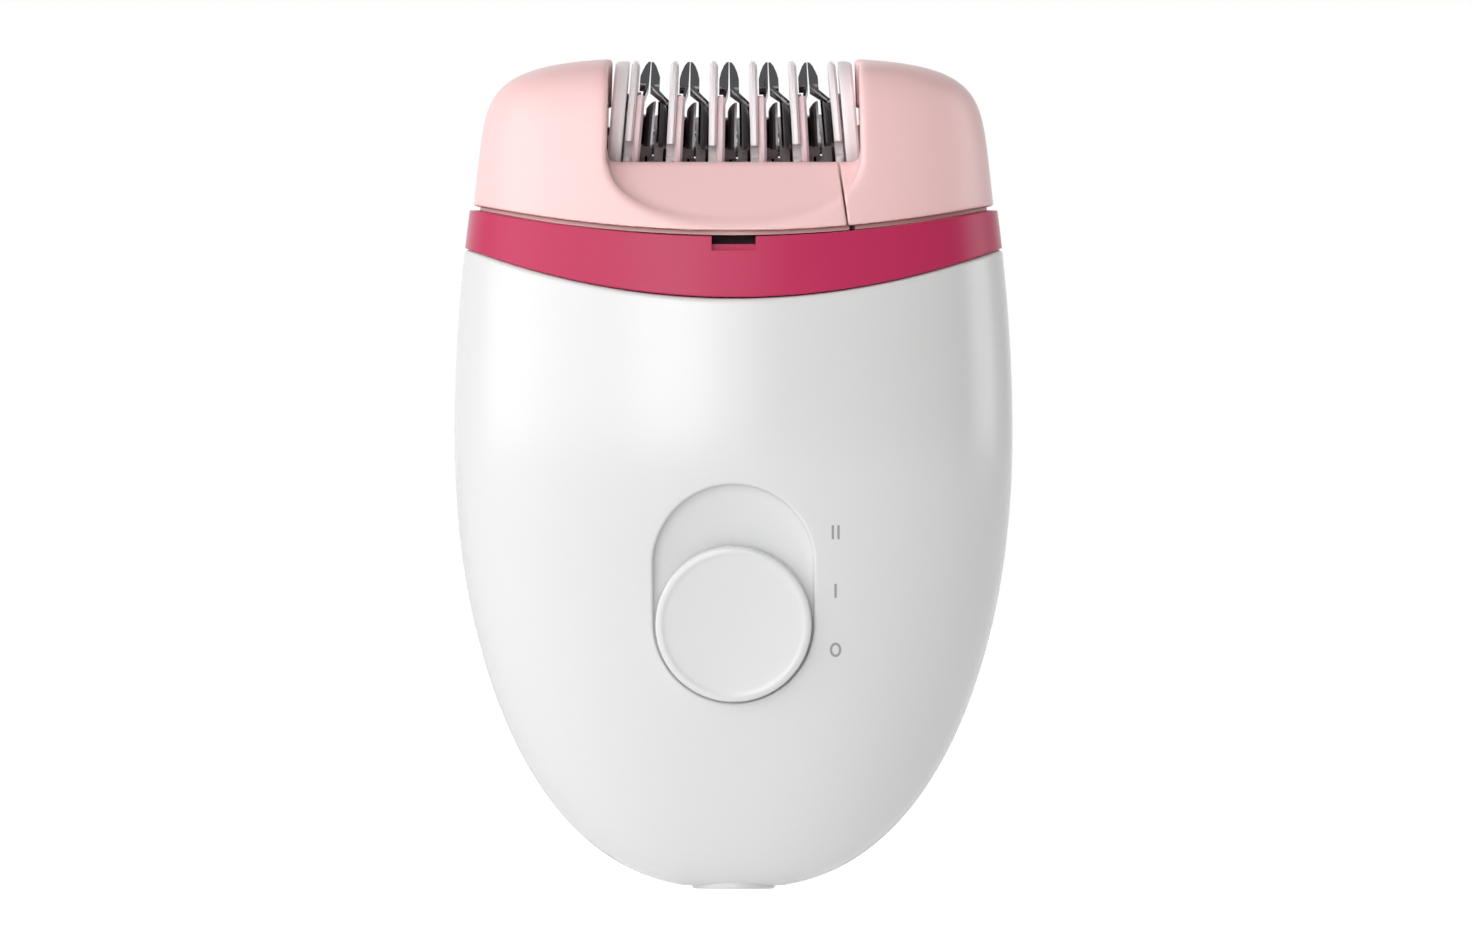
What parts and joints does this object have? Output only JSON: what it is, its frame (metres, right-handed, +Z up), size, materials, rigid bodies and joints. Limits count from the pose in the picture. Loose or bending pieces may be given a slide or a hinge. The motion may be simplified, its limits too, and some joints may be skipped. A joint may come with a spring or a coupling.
{
  "type": "epilator",
  "caption": "Handheld corded epilator with an egg-shaped white handle, thumb slide, magenta band and a lift-off pink head whose finned tweezer discs turn on a bent axle.",
  "frame": {"origin": "centre of the underside, on the flat face round the power socket", "axes": "+Z up the handle to the head, -Y out of the front with the slide switch, +X to the right seen from the front"},
  "size_m": [0.07, 0.0442, 0.104],
  "materials": {
    "white_gloss": "gloss white ABS",
    "white_satin": "satin white ABS",
    "magenta_gloss": "gloss, translucent-looking magenta",
    "pink_gloss": "soft gloss pale pink",
    "beige_plastic": "matte",
    "fin_white": "moulded, warm white",
    "spacer_pink": "moulded pale pink",
    "tweezer_chrome": "polished stainless steel",
    "bright_steel": "ground",
    "zinc_steel": "zinc plated",
    "tin_plate": "tinned",
    "bronze": "sintered bronze",
    "brass": "turned",
    "ferrite": "ferrite",
    "copper_winding": "enamelled copper over laminated steel",
    "natural_nylon": "acetal",
    "black_plastic": "matte",
    "red_plastic": "PVC insulation",
    "board_laminate": "phenolic laminate"
  },
  "bodies": {
    "handle": {"front_shell": "white_gloss", "rear_shell": "white_gloss", "collar_band": "magenta_gloss", "top_deck": "natural_nylon", "deck_screws": "zinc_steel", "gear_chassis": "natural_nylon", "motor_can": "zinc_steel", "motor_end_cap": "black_plastic", "motor_bushings": "bronze", "motor_magnets": "ferrite", "motor_terminals": "tin_plate", "motor_screws": "zinc_steel", "output_axle": "bright_steel", "compound_axle": "bright_steel", "circuit_board": "board_laminate", "board_parts": "black_plastic", "switch_case": "tin_plate", "socket_body": "white_satin", "socket_pin": "bright_steel", "supply_leads": "black_plastic", "motor_leads": "red_plastic"},
    "slide": {"slide_knob": "white_satin", "slide_carriage": "natural_nylon", "switch_lever": "black_plastic"},
    "rotor": {"motor_armature": "copper_winding", "motor_shaft": "bright_steel", "motor_pinion": "brass"},
    "compound": {"compound_gear": "natural_nylon"},
    "output": {"output_gear": "natural_nylon"},
    "head": {"head_cover": "pink_gloss", "head_side_cover": "pink_gloss", "head_frame": "beige_plastic", "head_screws": "zinc_steel", "disc_axle": "bright_steel", "axle_clips": "bright_steel"},
    "drum": {"drum_gear": "natural_nylon"},
    "wheel_1": {"fin_wheel_1": "fin_white", "spacer_disc_1": "spacer_pink", "tweezer_disc_1_right": "tweezer_chrome"},
    "wheel_2": {"fin_wheel_2": "fin_white", "spacer_disc_2": "spacer_pink", "tweezer_disc_2_right": "tweezer_chrome", "tweezer_disc_2_left": "tweezer_chrome"},
    "wheel_3": {"fin_wheel_3": "fin_white", "spacer_disc_3": "spacer_pink", "tweezer_disc_3_right": "tweezer_chrome", "tweezer_disc_3_left": "tweezer_chrome"},
    "wheel_4": {"fin_wheel_4": "fin_white", "spacer_disc_4": "spacer_pink", "tweezer_disc_4_right": "tweezer_chrome", "tweezer_disc_4_left": "tweezer_chrome"},
    "wheel_5": {"fin_wheel_5": "fin_white", "spacer_disc_5": "spacer_pink", "tweezer_disc_5_right": "tweezer_chrome", "tweezer_disc_5_left": "tweezer_chrome"},
    "wheel_6": {"fin_wheel_6": "fin_white", "tweezer_disc_6_left": "tweezer_chrome"}
  },
  "joints": [
    {"name": "rotor_spin", "type": "hinge", "parent": "handle", "child": "rotor", "pos_m": [0, -0.0035, 0.0644], "axis": [1, 0, 0], "continuous": true},
    {"name": "compound_spin", "type": "hinge", "parent": "handle", "child": "compound", "pos_m": [0, 0.007, 0.05971], "axis": [1, 0, 0], "continuous": true},
    {"name": "output_spin", "type": "hinge", "parent": "handle", "child": "output", "pos_m": [0, 0, 0.0752], "axis": [1, 0, 0], "continuous": true},
    {"name": "head_release", "type": "slide", "parent": "handle", "child": "head", "axis": [0, 0, 1], "range_m": [0, 0.02]},
    {"name": "drum_gear_spin", "type": "hinge", "parent": "head", "child": "drum", "pos_m": [0, 0, 0.0942], "axis": [1, 0, 0], "continuous": true},
    {"name": "switch_slide", "type": "slide", "parent": "handle", "child": "slide", "axis": [0, -0.1132, 0.9936], "range_m": [0, 0.0074]},
    {"name": "wheel_1_spin", "type": "hinge", "parent": "head", "child": "wheel_1", "pos_m": [-0.01307, 0, 0.09377], "axis": [0.9962, 0, -0.0872], "continuous": true},
    {"name": "wheel_2_spin", "type": "hinge", "parent": "head", "child": "wheel_2", "pos_m": [-0.00785, 0, 0.09341], "axis": [0.9986, 0, -0.0523], "continuous": true},
    {"name": "wheel_3_spin", "type": "hinge", "parent": "head", "child": "wheel_3", "pos_m": [-0.00262, 0, 0.09322], "axis": [0.9998, 0, -0.0175], "continuous": true},
    {"name": "wheel_4_spin", "type": "hinge", "parent": "head", "child": "wheel_4", "pos_m": [0.00262, 0, 0.09322], "axis": [0.9998, 0, 0.0175], "continuous": true},
    {"name": "wheel_5_spin", "type": "hinge", "parent": "head", "child": "wheel_5", "pos_m": [0.00785, 0, 0.09341], "axis": [0.9986, 0, 0.0523], "continuous": true},
    {"name": "wheel_6_spin", "type": "hinge", "parent": "head", "child": "wheel_6", "pos_m": [0.01307, 0, 0.09377], "axis": [0.9962, 0, 0.0872], "continuous": true}
  ],
  "couplings": [
    {"joint": "compound_spin", "follows": "rotor_spin", "ratio": -0.4375},
    {"joint": "output_spin", "follows": "rotor_spin", "ratio": 0.13462},
    {"joint": "drum_gear_spin", "follows": "rotor_spin", "ratio": -0.29167},
    {"joint": "wheel_1_spin", "follows": "rotor_spin", "ratio": -0.29167},
    {"joint": "wheel_2_spin", "follows": "rotor_spin", "ratio": -0.29167},
    {"joint": "wheel_3_spin", "follows": "rotor_spin", "ratio": -0.29167},
    {"joint": "wheel_4_spin", "follows": "rotor_spin", "ratio": -0.29167},
    {"joint": "wheel_5_spin", "follows": "rotor_spin", "ratio": -0.29167},
    {"joint": "wheel_6_spin", "follows": "rotor_spin", "ratio": -0.29167}
  ]
}
